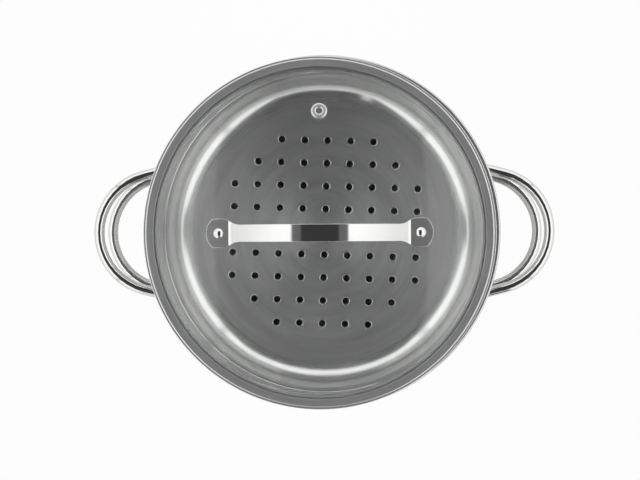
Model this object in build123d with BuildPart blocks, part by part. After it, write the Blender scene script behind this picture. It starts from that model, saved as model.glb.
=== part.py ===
from build123d import *

import math
import os

os.makedirs("parts", exist_ok=True)

# Two-tier steamer pot, 26 cm class: a stock pot with a bonded base, a steamer
# tier with a perforated floor that drops into the pot's mouth, and a domed
# glass lid in a steel band. Units are millimetres, +Z is up, the origin is on
# the underside at the centre, and the side handles lie along X.

# Round sizes that both tiers and the lid share
sheet = 0.7  # steel sheet of pot and steamer
mouth_radius = 128.5  # inner face of both walls
rim_flare = 1.6  # food-side radius of the bend from wall to rim
rim_land = 1.3  # flat top of the rim, which the tier or lid above sits on
rim_curl = 1.6  # outer radius of the curled edge
curl_turn = 200  # degrees that the edge is curled through
wall_outer = mouth_radius + sheet
rim_radius = mouth_radius + rim_flare + rim_land + rim_curl
cut_overrun = 5.0  # how far cutting shapes run past what they cut

# Pot
pot_height = 130.0
pot_corner = 18.0

# Bonded base under the pot
base_disc = 5.0
base_cap_sheet = 0.6
base_inset = 5.3  # from the start of the pot's corner in to the base's edge
base_edge = 2.0
base_radius = mouth_radius - pot_corner - base_inset
pot_underside = base_disc + base_cap_sheet

# Steamer tier
tier_pitch = 101.0  # from the pot's rim to the steamer's rim
neck_depth = 26.0  # from the pot's rim down to the steamer's floor
steamer_corner = 24.0
neck_clearance = 0.6  # round the neck, inside the pot's mouth
stack_bend = 1.3  # food-side radius of the bends above and below the bead
bead_bend = 1.1  # food-side radius of the stacking bead
bead_flat_end = rim_radius - bead_bend - sheet
neck_radius = mouth_radius - neck_clearance - sheet
steamer_rim = pot_height + tier_pitch
steamer_floor = pot_height - neck_depth

# Perforations, every place of a square grid that lies within a round field
hole_diameter = 5.6
hole_pitch = 18.55
hole_field_margin = 16.0  # from the edge of the flat floor in to the field
grid_turn = -2.05  # degrees from the handle line
tray_radius = neck_radius - steamer_corner
hole_field = tray_radius - hole_field_margin
holes_per_row = 2 * int(hole_field / hole_pitch) + 1

# Side handles, one bent rod each, welded to a plate at each end
rod_diameter = 8.0
handle_stand = 46.9  # outer face of the rod out from the wall
handle_drop = 25.0  # rod centre below its tier's rim
grip_radius = 45.0
leg_splay = 14  # degrees that the legs open towards the wall
plate_thickness = 1.5
plate_length = 35.0
plate_height = 16.0
plate_corner = 4.0
plate_outer = wall_outer + plate_thickness
handle_reach = wall_outer + handle_stand

# Lid band, one strip folded round the edge of the glass
band_sheet = 0.5
band_lip = 5.0  # how far the lip reaches over the glass
band_step = 2.5  # from the rim's edge in to the upright round the glass
band_fold = 0.6  # outer radius of the hairpin and of the groove above it
band_shoulder = 0.8
skirt_clearance = 5.0
skirt_bend = 0.5
skirt_depth = 6.0
hem_bend = 0.9
band_flange = 2 * band_fold
skirt_radius = mouth_radius - skirt_clearance
lid_shift = (-3.2, -0.9)  # along X and Y, as the lid lies in the play of its skirt
lid_seat = Location((*lid_shift, 0))

# Domed glass
glass = 4.0
glass_edge_gap = 0.2
glass_edge_round = 1.2  # ground edge of the glass
glass_flat_margin = 1.5  # flat glass that shows inside the lip
glass_knee = 10.0
dome_slope = 18.5  # degrees where the dome meets the flat edge
upright_inner = rim_radius - band_step
glass_radius = upright_inner - glass_edge_gap
band_lip_radius = glass_radius - band_lip
glass_flat_radius = band_lip_radius - glass_flat_margin
glass_seat = steamer_rim + band_sheet
knee_end = glass_flat_radius - glass_knee * math.sin(math.radians(dome_slope))
dome_radius = knee_end / math.sin(math.radians(dome_slope))
dome_rise = (dome_radius + glass_knee) * (1 - math.cos(math.radians(dome_slope)))
dome_centre = glass_seat + dome_rise - dome_radius
dome_top_radius = dome_radius + glass

# Vent eyelet
vent_inset = 34.3  # from the band's lip in to the vent
vent_flange_radius = 6.15
vent_bore = 4.2
vent_wall = 0.9
vent_flange = 1.6
vent_edge = 1.4
vent_foot_radius = 4.6
vent_foot = 0.6
vent_washer_radius = 6.0
vent_washer = 1.0
vent_hole_clearance = 0.4
vent_distance = band_lip_radius - vent_inset

# Strap handle and what fastens it
rivet_inset = 50.4  # from the band's lip in to the rivet
strap_sheet = 2.0
strap_width = 13.0
tab_width = 21.9
tab_length = 18.3
tab_overhang = 9.8  # from the rivet to the end of the tab
tab_end_radius = 13.9
tab_corner = 1.6
tab_side = 6.3  # straight side, from the tab's corner to the flare
flare_length = 14.3
strap_rise = 45  # degrees of the arch where it leaves the tab
fold_radius = 6.0
strap_edge = 0.45
rivet_head_radius = 3.75
rivet_head = 1.9
rivet_shank_radius = 2.2
rivet_tail_radius = 3.4
rivet_tail = 1.2
rivet_hole_clearance = 1.0
pad_radius = 6.5
pad_thickness = 1.0
washer_radius = 5.0
washer_thickness = 0.8
rivet_distance = band_lip_radius - rivet_inset


def hollow(radius):
    """Depth of the domed underside of the glass across a disc of this radius."""
    return dome_radius - math.sqrt(dome_radius**2 - radius**2)


def lid_plane(distance, azimuth):
    """Plane on top of the glass at a distance from the axis, square to the glass."""
    lean = math.asin(distance / dome_top_radius)
    turn = math.radians(azimuth)
    outward = Vector(math.cos(turn), math.sin(turn), 0)
    normal = outward * math.sin(lean) + Vector(0, 0, math.cos(lean))
    along = outward * math.cos(lean) - Vector(0, 0, math.sin(lean))
    centre = Vector(0, 0, dome_centre)
    return Plane(origin=centre + normal * dome_top_radius, x_dir=along, z_dir=normal)


def rolled_rim(wall):
    """Bends the end of a wall outwards, gives it a flat land and curls its edge."""
    flare = JernArc(wall @ 1, wall % 1, rim_flare, -90)
    land = Line(flare @ 1, flare @ 1 + Vector(rim_land, 0))
    JernArc(land @ 1, land % 1, rim_curl, -curl_turn)


def write(piece, name, seat=Location()):
    """Puts a finished piece on its seat, labels it and writes it under its name."""
    with BuildPart() as placed:
        with Locations(seat):
            add(piece.part)
    placed.part.label = name
    export_step(placed.part, f"parts/{name}.step")


# Pot: one drawn shell with a rolled rim
with BuildPart() as pot_body:
    with BuildSketch(Plane.XZ):
        with BuildLine():
            pot_floor = pot_underside + sheet
            floor_line = Line((0, pot_floor), (mouth_radius - pot_corner, pot_floor))
            corner = JernArc(floor_line @ 1, floor_line % 1, pot_corner, 90)
            pot_wall = Line(corner @ 1, (mouth_radius, pot_height - rim_flare))
            rolled_rim(pot_wall)
            offset(amount=sheet, side=Side.RIGHT)
        make_face()
    revolve(axis=Axis.Z)
write(pot_body, "pot_body")

# Base: an aluminium disc that spreads the heat, in a pressed steel cap
with BuildPart() as pot_base_cap:
    with BuildSketch(Plane.XZ):
        with BuildLine():
            cap_floor = Line((0, 0), (base_radius - base_edge, 0))
            cap_corner = JernArc(cap_floor @ 1, cap_floor % 1, base_edge, 90)
            Line(cap_corner @ 1, (base_radius, pot_underside))
            offset(amount=base_cap_sheet, side=Side.LEFT)
        make_face()
    revolve(axis=Axis.Z)
write(pot_base_cap, "pot_base_cap")

with BuildPart() as pot_base_disc:
    with BuildSketch(Plane.XY.offset(base_cap_sheet)):
        Circle(base_radius - base_cap_sheet)
    extrude(amount=base_disc)
    disc_edge = pot_base_disc.edges().group_by(Axis.Z)[0]
    fillet(disc_edge.filter_by(GeomType.CIRCLE), base_edge - base_cap_sheet)
write(pot_base_disc, "pot_base_disc")

# Steamer: the neck drops into the pot and the bead above it sits on the pot's rim
with BuildPart() as steamer_body:
    with BuildSketch(Plane.XZ):
        with BuildLine():
            tray = Line((0, steamer_floor), (tray_radius, steamer_floor))
            tray_corner = JernArc(tray @ 1, tray % 1, steamer_corner, 90)
            ledge_height = pot_height + sheet
            neck = Line(tray_corner @ 1, (neck_radius, ledge_height - stack_bend))
            lower_bend = JernArc(neck @ 1, neck % 1, stack_bend, -90)
            ledge = Line(lower_bend @ 1, (bead_flat_end, ledge_height))
            bead = JernArc(ledge @ 1, ledge % 1, bead_bend, 180)
            bead_top = (bead @ 1).Y
            shelf = Line(bead @ 1, (mouth_radius + stack_bend, bead_top))
            upper_bend = JernArc(shelf @ 1, shelf % 1, stack_bend, -90)
            steamer_wall = Line(upper_bend @ 1, (mouth_radius, steamer_rim - rim_flare))
            rolled_rim(steamer_wall)
            offset(amount=sheet, side=Side.RIGHT)
        make_face()
    revolve(axis=Axis.Z)

    # The holes are punched where the grid keeps within its round field
    with BuildSketch(Plane.XY.offset(steamer_floor)):
        grid = GridLocations(hole_pitch, hole_pitch, holes_per_row, holes_per_row)
        places = [
            place
            for place in grid
            if math.hypot(place.position.X, place.position.Y) < hole_field
        ]
        with Locations(Location((0, 0, 0), (0, 0, grid_turn))):
            with Locations(*places):
                Circle(hole_diameter / 2)
    extrude(amount=cut_overrun, both=True, mode=Mode.SUBTRACT)
write(steamer_body, "steamer_body")

# Side handle: a round grip and two legs, cut where they meet the plates
with BuildPart() as handle_loop:
    splay = math.radians(leg_splay)
    rod_front = handle_reach - rod_diameter / 2
    leg_x = rod_front - grip_radius * (1 - math.sin(splay))
    leg_centre = Vector(leg_x, grip_radius * math.cos(splay))
    leg_aim = Vector(-math.cos(splay), math.sin(splay))
    nearest = -leg_centre.dot(leg_aim)
    chord = math.sqrt(plate_outer**2 - leg_centre.dot(leg_centre) + nearest**2)
    leg_length = nearest - chord + rod_diameter + cut_overrun
    grip_turn = 180 - 2 * leg_splay
    with BuildLine() as loop_path:
        first_leg = Line(leg_centre + leg_aim * leg_length, leg_centre)
        grip = JernArc(first_leg @ 1, first_leg % 1, grip_radius, -grip_turn)
        Line(grip @ 1, grip @ 1 + (grip % 1) * leg_length)
    with BuildSketch(Plane(origin=first_leg @ 0, z_dir=first_leg % 0)):
        Circle(rod_diameter / 2)
    sweep()
    Cylinder(plate_outer, rod_diameter + 2 * cut_overrun, mode=Mode.SUBTRACT)

# Weld plates: one where each leg meets the wall, bent to the wall's curve
with BuildPart() as weld_plates:
    with BuildSketch():
        Circle(plate_outer)
        Circle(wall_outer, mode=Mode.SUBTRACT)
    extrude(amount=plate_height, both=True)
    foot = leg_centre + leg_aim * (nearest - chord)
    with BuildSketch(Plane(origin=(0, 0, 0), x_dir=(-foot.Y, foot.X, 0), z_dir=foot)):
        RectangleRounded(plate_length, plate_height, plate_corner)
    extrude(amount=rim_radius, mode=Mode.INTERSECT)
    mirror(about=Plane.XZ)

# Both tiers carry the same pair of handles
tiers = (("pot", pot_height), ("steamer", steamer_rim))
sides = (("right", 0), ("left", 180))
for tier, tier_rim in tiers:
    for side, turn in sides:
        place = Location((0, 0, tier_rim - handle_drop), (0, 0, turn))
        write(handle_loop, f"{tier}_handle_{side}", place)
        write(weld_plates, f"{tier}_plates_{side}", place)

# Lid glass: a flat edge, a soft knee and a dome, drilled for the vent and the rivets
vent_plane = lid_plane(vent_distance, 90)
rivet_planes = {
    "right": lid_plane(rivet_distance, 0),
    "left": lid_plane(rivet_distance, 180),
}
with BuildPart() as lid_glass:
    with BuildSketch(Plane.XZ):
        with BuildLine():
            flat = Line((glass_radius, glass_seat), (glass_flat_radius, glass_seat))
            knee = JernArc(flat @ 1, flat % 1, glass_knee, -dome_slope)
            JernArc(knee @ 1, knee % 1, dome_radius, dome_slope)
            offset(amount=glass, side=Side.RIGHT)
        make_face()
        fillet(vertices().group_by(Axis.X)[-1], glass_edge_round)
    revolve(axis=Axis.Z)
    with Locations(*[plane.location for plane in rivet_planes.values()]):
        Hole(rivet_shank_radius + rivet_hole_clearance, glass + cut_overrun)
    with Locations(vent_plane.location):
        Hole(vent_bore / 2 + vent_wall + vent_hole_clearance, glass + cut_overrun)
write(lid_glass, "lid_glass", lid_seat)

# Lid band: lip on the glass, upright, folded flange on the rim, skirt in the mouth
with BuildPart() as lid_band:
    with BuildSketch(Plane.XZ):
        with BuildLine():
            lip_height = glass_seat + glass + band_sheet
            upright = upright_inner + band_sheet
            lip_end = upright - band_shoulder
            lip = Line((band_lip_radius, lip_height), (lip_end, lip_height))
            turn_down = JernArc(lip @ 1, lip % 1, band_shoulder, -90)
            drop_end = steamer_rim + band_flange + band_fold
            drop = Line(turn_down @ 1, (upright, drop_end))
            groove = JernArc(drop @ 1, drop % 1, band_fold, 90)
            flange_top = (rim_radius - band_fold, steamer_rim + band_flange)
            flange = Line(groove @ 1, flange_top)
            hairpin = JernArc(flange @ 1, flange % 1, band_fold, -180)
            seat_end = (skirt_radius + skirt_bend, steamer_rim)
            seat = Line(hairpin @ 1, seat_end)
            skirt_turn = JernArc(seat @ 1, seat % 1, skirt_bend, 90)
            skirt = Line(skirt_turn @ 1, (skirt_radius, steamer_rim - skirt_depth))
            JernArc(skirt @ 1, skirt % 1, hem_bend, -90)
            offset(amount=band_sheet, side=Side.RIGHT)
        make_face()
    revolve(axis=Axis.Z)
write(lid_band, "lid_band", lid_seat)

# Strap handle: one arch between two tabs, cut to the outline seen from above
with BuildPart() as lid_strap:
    lean = math.asin(rivet_distance / dome_top_radius)
    lean_degrees = math.degrees(lean)
    tab_plane = rivet_planes["right"]
    tab_start = tab_plane.from_local_coords((tab_overhang, 0, pad_thickness))
    tab_heading = Vector(-math.cos(lean), math.sin(lean))
    fold_turn = strap_rise - lean_degrees
    with BuildSketch(Plane.XZ):
        with BuildLine():
            tab_origin = Vector(tab_start.X, tab_start.Z)
            tab = Line(tab_origin, tab_origin + tab_heading * tab_length)
            fold = JernArc(tab @ 1, tab % 1, fold_radius, -fold_turn)
            arch_radius = (fold @ 1).X / math.sin(math.radians(strap_rise))
            JernArc(fold @ 1, fold % 1, arch_radius, strap_rise)
            offset(amount=strap_sheet, side=Side.RIGHT)
        make_face()
        mirror(about=Plane.YZ)
    extrude(amount=tab_width, both=True)
    with BuildSketch(Plane.XY.offset(steamer_rim)):
        with BuildLine():
            tab_tip = tab_start.X
            end_bulge = tab_end_radius - math.sqrt(
                tab_end_radius**2 - (tab_width / 2) ** 2
            )
            corner_x = tab_tip - end_bulge
            flare_start = corner_x - tab_side - flare_length
            flare_turn = 2 * math.atan((tab_width - strap_width) / 2 / flare_length)
            flare_radius = flare_length / (2 * math.sin(flare_turn))
            swing = math.degrees(flare_turn)
            middle = Line((0, strap_width / 2), (flare_start, strap_width / 2))
            spread = JernArc(middle @ 1, middle % 1, flare_radius, swing)
            level = JernArc(spread @ 1, spread % 1, flare_radius, -swing)
            Line(level @ 1, (corner_x, tab_width / 2))
            RadiusArc((corner_x, tab_width / 2), (tab_tip, 0), tab_end_radius)
            mirror(about=Plane.XZ)
            mirror(about=Plane.YZ)
        make_face()
        corners = vertices().filter_by(
            lambda corner: abs(corner.Y) > strap_width / 2 + strap_edge
            and abs(corner.X) > corner_x - tab_side / 2
        )
        fillet(corners, tab_corner)
    extrude(amount=dome_radius, mode=Mode.INTERSECT)
    fillet(lid_strap.edges(), strap_edge)
    with Locations(*[plane.location for plane in rivet_planes.values()]):
        Hole(rivet_shank_radius, pad_thickness + strap_sheet + cut_overrun)
write(lid_strap, "lid_strap", lid_seat)

# Fastening stack at each tab, from the rivet head down to its spread tail.
# Heights are along the rivet, from the top of the glass.
head_seat = pad_thickness + strap_sheet
lower_pad_top = -glass - hollow(pad_radius)
washer_top = lower_pad_top - pad_thickness
tail_top = washer_top - washer_thickness

with BuildPart() as rivet:
    with BuildSketch(Plane.XZ):
        with BuildLine():
            head_top = head_seat + rivet_head
            tail_end = tail_top - rivet_tail
            crown = (0, head_top)
            brim = (rivet_head_radius, head_seat)
            dome = RadiusArc(
                crown,
                brim,
                (rivet_head_radius**2 + rivet_head**2) / (2 * rivet_head),
            )
            Polyline(
                brim,
                (rivet_shank_radius, head_seat),
                (rivet_shank_radius, tail_top),
                (rivet_tail_radius, tail_top),
                (rivet_tail_radius, tail_end),
                (0, tail_end),
                crown,
            )
        make_face()
    revolve(axis=Axis.Z)


def ring(outer, bore, top, thickness):
    """A flat ring under a height, for the pads and washers of the lid."""
    with BuildPart() as flat_ring:
        with BuildSketch(Plane.XY.offset(top)):
            Circle(outer)
            Circle(bore, mode=Mode.SUBTRACT)
        extrude(amount=-thickness)
    return flat_ring


upper_pad = ring(pad_radius, rivet_shank_radius, pad_thickness, pad_thickness)
lower_pad = ring(pad_radius, rivet_shank_radius, lower_pad_top, pad_thickness)
washer = ring(washer_radius, rivet_shank_radius, washer_top, washer_thickness)
fastening = {
    "lid_rivet": rivet,
    "lid_upper_pad": upper_pad,
    "lid_lower_pad": lower_pad,
    "lid_washer": washer,
}
for side, plane in rivet_planes.items():
    for name, master in fastening.items():
        write(master, f"{name}_{side}", lid_seat * plane.location)

# Steam vent: an eyelet through the glass, clinched under a soft washer
vent_washer_top = -glass - hollow(vent_washer_radius)
vent_foot_top = vent_washer_top - vent_washer
vent_tube_radius = vent_bore / 2 + vent_wall
with BuildPart() as vent_master:
    with BuildSketch(Plane.XZ):
        foot_end = vent_foot_top - vent_foot
        Polygon(
            (vent_bore / 2, vent_flange),
            (vent_flange_radius, vent_flange),
            (vent_flange_radius, 0),
            (vent_tube_radius, 0),
            (vent_tube_radius, vent_foot_top),
            (vent_foot_radius, vent_foot_top),
            (vent_foot_radius, foot_end),
            (vent_bore / 2, foot_end),
            align=None,
        )
        fillet(vertices().group_by(Axis.Y)[-1], vent_edge)
    revolve(axis=Axis.Z)
write(vent_master, "vent_eyelet", lid_seat * vent_plane.location)

vent_ring = ring(vent_washer_radius, vent_tube_radius, vent_washer_top, vent_washer)
write(vent_ring, "vent_seal", lid_seat * vent_plane.location)
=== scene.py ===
"""A two-tier steamer pot with a glass lid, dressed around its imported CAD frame.

Shapes are worked out in millimetres, in the frame's axes (+Z up, the side
handles along X, the underside on z = 0), and turned into metres when a piece is
made. Each sub-assembly is a class that holds its sizes and builds its pieces.
"""

from __future__ import annotations

import logging
import math
from dataclasses import dataclass
from enum import Enum
from typing import Any, Callable

import bpy
import numpy as np
from mathutils import Matrix, Vector
from mathutils.geometry import delaunay_2d_cdt

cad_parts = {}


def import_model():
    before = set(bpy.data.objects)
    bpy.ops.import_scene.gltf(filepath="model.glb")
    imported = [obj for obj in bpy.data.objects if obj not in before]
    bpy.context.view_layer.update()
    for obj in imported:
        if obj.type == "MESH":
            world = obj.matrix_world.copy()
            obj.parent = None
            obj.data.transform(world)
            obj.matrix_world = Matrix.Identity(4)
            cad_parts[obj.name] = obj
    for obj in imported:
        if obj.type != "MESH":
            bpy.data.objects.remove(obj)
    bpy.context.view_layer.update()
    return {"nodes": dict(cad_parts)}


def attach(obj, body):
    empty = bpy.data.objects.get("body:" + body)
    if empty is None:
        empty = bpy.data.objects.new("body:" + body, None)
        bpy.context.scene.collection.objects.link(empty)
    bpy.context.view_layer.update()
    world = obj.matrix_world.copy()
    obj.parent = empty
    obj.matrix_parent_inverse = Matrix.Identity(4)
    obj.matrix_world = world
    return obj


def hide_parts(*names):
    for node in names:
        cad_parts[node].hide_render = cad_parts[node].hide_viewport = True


log = logging.getLogger("steamer_pot")

METRES = 0.001  # metres in a millimetre
ROUND = 256  # steps round the pot's axis
SMALL_ROUND = 48  # steps round a rivet, pad or eyelet
ARC_STEP = 9.0  # degrees between stations on a profile's arc
CAP_STEPS = 9  # points on the half round of a sheet's edge
BEND_STEPS = 6  # points on the quarter round of a weld or a plate's edge
WELD = 0.001  # grid, in mm, on which corners are merged
WELD_SHIFT = 0.377  # of that grid, so that round sizes don't lie between two of its cells
WELD_KEY = 2**21  # more cells than a piece has in any direction
TURN = 2 * math.pi
UP = np.array((0.0, 0.0, 1.0))

Array = np.ndarray


def tinted(colour: tuple, factor: float) -> tuple:
    """A colour times a factor, with no channel past 1."""
    return tuple(min(1.0, channel * factor) for channel in colour)


def unit(vectors: Array) -> Array:
    """Vectors scaled to length 1, along the last axis."""
    return vectors / np.maximum(np.linalg.norm(vectors, axis=-1, keepdims=True), 1e-12)


def circle(radius: float, steps: int) -> Array:
    """Points of a circle about the origin."""
    angle = TURN * np.arange(steps) / steps
    return radius * np.stack((np.cos(angle), np.sin(angle)), -1)


def upright(azimuth: Array) -> tuple[Array, Array]:
    """Level unit vectors outwards at azimuths, and those a quarter turn on."""
    x, y, level = np.cos(azimuth), np.sin(azimuth), 0 * azimuth
    return np.stack((x, y, level), -1), np.stack((-y, x, level), -1)


class Line2D:
    """Straight runs and arcs joined end to end in a plane.

    Each piece keeps its start, its heading and its curvature k, so the point a
    length s into it is start + s times the mean heading, and its heading there
    is the first heading + k s.
    """

    def __init__(self, start: tuple[float, float], heading: float = 0.0) -> None:
        """Starts a line.

        Args:
            start: First point, in mm.
            heading: Direction of travel, in degrees anticlockwise from the first axis.
        """
        self.point = np.array(start, float)
        self.heading = math.radians(heading)
        self.pieces: list[tuple[Array, float, float, float]] = []

    def run(self, length: float) -> Line2D:
        """Adds a straight run of this length in the current heading."""
        return self._add(length, 0.0)

    def to(self, point: tuple[float, float]) -> Line2D:
        """Adds a straight run to a point, whatever the current heading.

        Args:
            point: Where it ends.

        Returns:
            The line itself.
        """
        gap = np.array(point, float) - self.point
        self.heading = math.atan2(gap[1], gap[0])
        return self._add(float(np.hypot(*gap)), 0.0)

    def arc(self, radius: float, turn: float) -> Line2D:
        """Adds an arc that turns by these degrees, anticlockwise if positive."""
        angle = math.radians(turn)
        return self._add(radius * abs(angle), math.copysign(1 / radius, angle))

    def _add(self, length: float, bend: float) -> Line2D:
        """Adds one piece and moves the pen to its end.

        Args:
            length: Length of the piece.
            bend: Its curvature.

        Returns:
            The line itself.
        """
        piece = (self.point, self.heading, length, bend)
        self.pieces.append(piece)
        self.point, heading = (value[0] for value in self._along(piece, np.array([length])))
        self.heading = float(heading)
        return self

    @staticmethod
    def _marks(piece: tuple) -> Array:
        """Lengths into a piece at which it is cut into cells.

        Args:
            piece: Start, heading, length and curvature.

        Returns:
            Those lengths, both ends included.
        """
        _, _, length, bend = piece
        steps = max(1, math.ceil(math.degrees(abs(bend) * length) / ARC_STEP))
        return length * np.arange(steps + 1) / steps

    @staticmethod
    def _along(piece: tuple, s: Array) -> tuple[Array, Array]:
        """Points and headings within one piece.

        A chord of length s sinc(k s / 2) leaves the start in the mean heading.

        Args:
            piece: Start, heading, length and curvature k.
            s: Lengths into it.

        Returns:
            The points and the headings in radians.
        """
        start, heading, _, bend = piece
        half = bend * s / 2
        chord = s * np.sinc(half / math.pi)
        middle = heading + half
        step = np.stack((np.cos(middle), np.sin(middle)), -1) * chord[..., None]
        return start + step, heading + bend * s

    @property
    def length(self) -> float:
        """Length of all the pieces together."""
        return sum(piece[2] for piece in self.pieces)

    def at(self, s: Array) -> tuple[Array, Array]:
        """Points and headings at lengths s along the whole line.

        Args:
            s: Lengths from the start. Those outside the line carry its ends on.

        Returns:
            The points and the headings in radians.
        """
        ends = np.cumsum([piece[2] for piece in self.pieces])
        which = np.minimum(np.searchsorted(ends, s), len(self.pieces) - 1)
        points, headings = np.zeros((*s.shape, 2)), np.zeros(s.shape)
        for index, piece in enumerate(self.pieces):
            here = which == index
            local = s[here] - (ends[index] - piece[2])
            points[here], headings[here] = self._along(piece, local)
        return points, headings

    def stations(self) -> Array:
        """Lengths at which the line is cut into short cells.

        Returns:
            Lengths from the start.
        """
        marks, travelled = [np.zeros(1)], 0.0
        for piece in self.pieces:
            marks.append(travelled + self._marks(piece)[1:])
            travelled += piece[2]
        return np.concatenate(marks)

    def cells(self, side: int = 1, shift: float = 0.0) -> Array:
        """The line as short cells with a normal at each end.

        Args:
            side: 1 for normals to the right of travel, -1 for the left.
            shift: How far the cells are moved along their right normals.

        Returns:
            Array (cells, 2 ends, point and normal, 2).
        """
        parts = []
        for piece in self.pieces:
            points, heading = self._along(piece, self._marks(piece))
            right = np.stack((np.sin(heading), -np.cos(heading)), -1)
            rows = np.stack((points + shift * right, side * right), 1)
            parts.append(np.stack((rows[:-1], rows[1:]), 1))
        return np.concatenate(parts)


def cap(point: Array, heading: float, thickness: float, sign: int) -> Array:
    """Half-round edge of a sheet: a circle's arc from one face to the other.

    Args:
        point: End of the sheet's first face.
        heading: Heading of that face there, in radians.
        thickness: Sheet to the right of it.
        sign: 1 at the end of the face, -1 at its start.

    Returns:
        Cells as Line2D.cells gives them.
    """
    along = np.array((math.cos(heading), math.sin(heading))) * sign
    right = np.array((math.sin(heading), -math.cos(heading))) * np.sign(thickness)
    angle = np.linspace(0, math.pi, CAP_STEPS)[:, None]
    normals = -np.cos(angle) * right + np.sin(angle) * along
    points = point + (right + normals) * abs(thickness) / 2
    rows = np.stack((points, normals), 1)
    return np.stack((rows[:-1], rows[1:]), 1)


def sheet(line: Line2D, thickness: float, start: bool = True, end: bool = True) -> Array:
    """Section of a bent sheet: a line, its parallel, and half-round edges.

    Args:
        line: One face of the sheet.
        thickness: Sheet to the right of the line, or to the left if negative.
        start: Whether the sheet's first edge is rounded over.
        end: Whether its last edge is.

    Returns:
        Cells of the whole outline.
    """
    side = -1 if thickness > 0 else 1
    parts = [line.cells(side), line.cells(-side, thickness)]
    first, heading = line.at(np.zeros(1))
    if start:
        parts.append(cap(first[0], float(heading[0]), thickness, -1))
    if end:
        parts.append(cap(line.point, line.heading, thickness, 1))
    return np.concatenate(parts)


def rounded(corners: list[tuple[float, float, float]], closed: bool = True) -> Array:
    """Outline through corners, each rounded with its own radius.

    Args:
        corners: Points and radii, anticlockwise, so normals point outwards.
        closed: Whether the last corner runs on into the first.

    Returns:
        Cells as Line2D.cells gives them.
    """
    points = np.array([corner[:2] for corner in corners], float)
    count = len(points)
    inner = range(count) if closed else range(1, count - 1)
    before, after, turns = {}, {}, {}
    for index in inner:
        arrive = unit(points[index] - points[index - 1])
        leave = unit(points[(index + 1) % count] - points[index])
        turn = math.atan2(
            arrive[0] * leave[1] - arrive[1] * leave[0], float(arrive @ leave)
        )
        cut = corners[index][2] * abs(math.tan(turn / 2))
        before[index], after[index] = points[index] - arrive * cut, points[index] + leave * cut
        turns[index] = math.degrees(turn)
    line = Line2D(tuple(after[count - 1] if closed else points[0]))
    for index in range(count) if closed else range(1, count):
        line.to(tuple(before.get(index, points[index])))
        if index in turns and corners[index][2] > 0:
            line.arc(corners[index][2], turns[index])
        elif index in turns:
            line.heading += math.radians(turns[index])
    return line.cells()


def strip(first: Array, second: Array, closed: bool = True) -> Array:
    """Two triangles for each step between two rows.

    Args:
        first: Rows (rows, steps, point and normal, 3) on one side of each cell.
        second: The rows on its other side.
        closed: Whether the last step meets the first again.

    Returns:
        Triangles (count, 3 corners, point and normal, 3).
    """
    if closed:
        first = np.concatenate((first, first[:, :1]), 1)
        second = np.concatenate((second, second[:, :1]), 1)
    a, b, c, d = first[:, :-1], first[:, 1:], second[:, 1:], second[:, :-1]
    pair = np.stack((np.stack((a, b, c), 2), np.stack((a, c, d), 2)), 2)
    return pair.reshape(-1, 3, 2, 3)


def lathe(cells: Array, steps: int = ROUND) -> Array:
    """A profile turned about the upright axis.

    A profile point (r, z) goes to (r cos a, r sin a, z), and its normal turns with it.

    Args:
        cells: Profile cells, radius first and height second.
        steps: Steps round the axis.

    Returns:
        Triangles, as strip gives them.
    """
    flat = cells[:, :, None, :, :1] * circle(1.0, steps)[None, None, :, None, :]
    height = np.broadcast_to(cells[:, :, None, :, 1:], (*flat.shape[:-1], 1))
    rows = np.concatenate((flat, height), -1)
    return strip(rows[:, 0], rows[:, 1])


def drilled(edge: Array, rings: Array, radii: Array | float, slack: float = 0.0,
            loose: Array = np.zeros((0, 2))) -> Array:
    """Delaunay triangles between an outline and the holes in it.

    Args:
        edge: Points of the outline.
        rings: Points of each hole (holes, steps, 2).
        radii: Radius of each hole, or of all.
        slack: How far inside a radius the middle of a triangle may lie and be kept.
        loose: Further points (count, 2).

    Returns:
        Corners of the triangles (count, 3, 2).
    """
    joins, begin = [], 0
    for loop in (edge, *rings):
        numbers = begin + np.arange(len(loop))
        joins.append(np.stack((numbers, np.roll(numbers, -1)), -1))
        begin += len(loop)
    points = np.concatenate((edge, *rings, loose)).tolist()
    found = delaunay_2d_cdt([Vector(point) for point in points],
                            np.concatenate(joins).tolist(), [], 0, 1e-6)
    corners = np.array([tuple(point) for point in found[0]])[np.array(found[2])]
    middle = corners.mean(axis=1)[:, None]
    gaps = np.linalg.norm(middle - rings.mean(axis=1), axis=-1) - radii
    return corners[gaps.min(axis=1) > -slack]


def placed(triangles: Array, origin: tuple | Array, axes: Array = np.eye(3)) -> Array:
    """Triangles moved from local axes, which are rows, to an origin.

    Args:
        triangles: Triangles, as strip gives them.
        origin: Where the local origin goes.
        axes: The local axes, one to a row.

    Returns:
        The moved triangles.
    """
    moved = triangles @ axes
    moved[:, :, 0] += origin
    return moved


def doubled(triangles: Array) -> Array:
    """Triangles together with their mirror image, front to back."""
    return np.concatenate((triangles, triangles * (1, -1, 1)))


def add_object(name: str, data: bpy.types.ID) -> bpy.types.Object:
    """A new object of the scene, at the origin.

    Args:
        name: Name of the object.
        data: Its mesh or camera.

    Returns:
        The object.
    """
    made = bpy.data.objects.new(name, data)
    bpy.context.scene.collection.objects.link(made)
    return made


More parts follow.
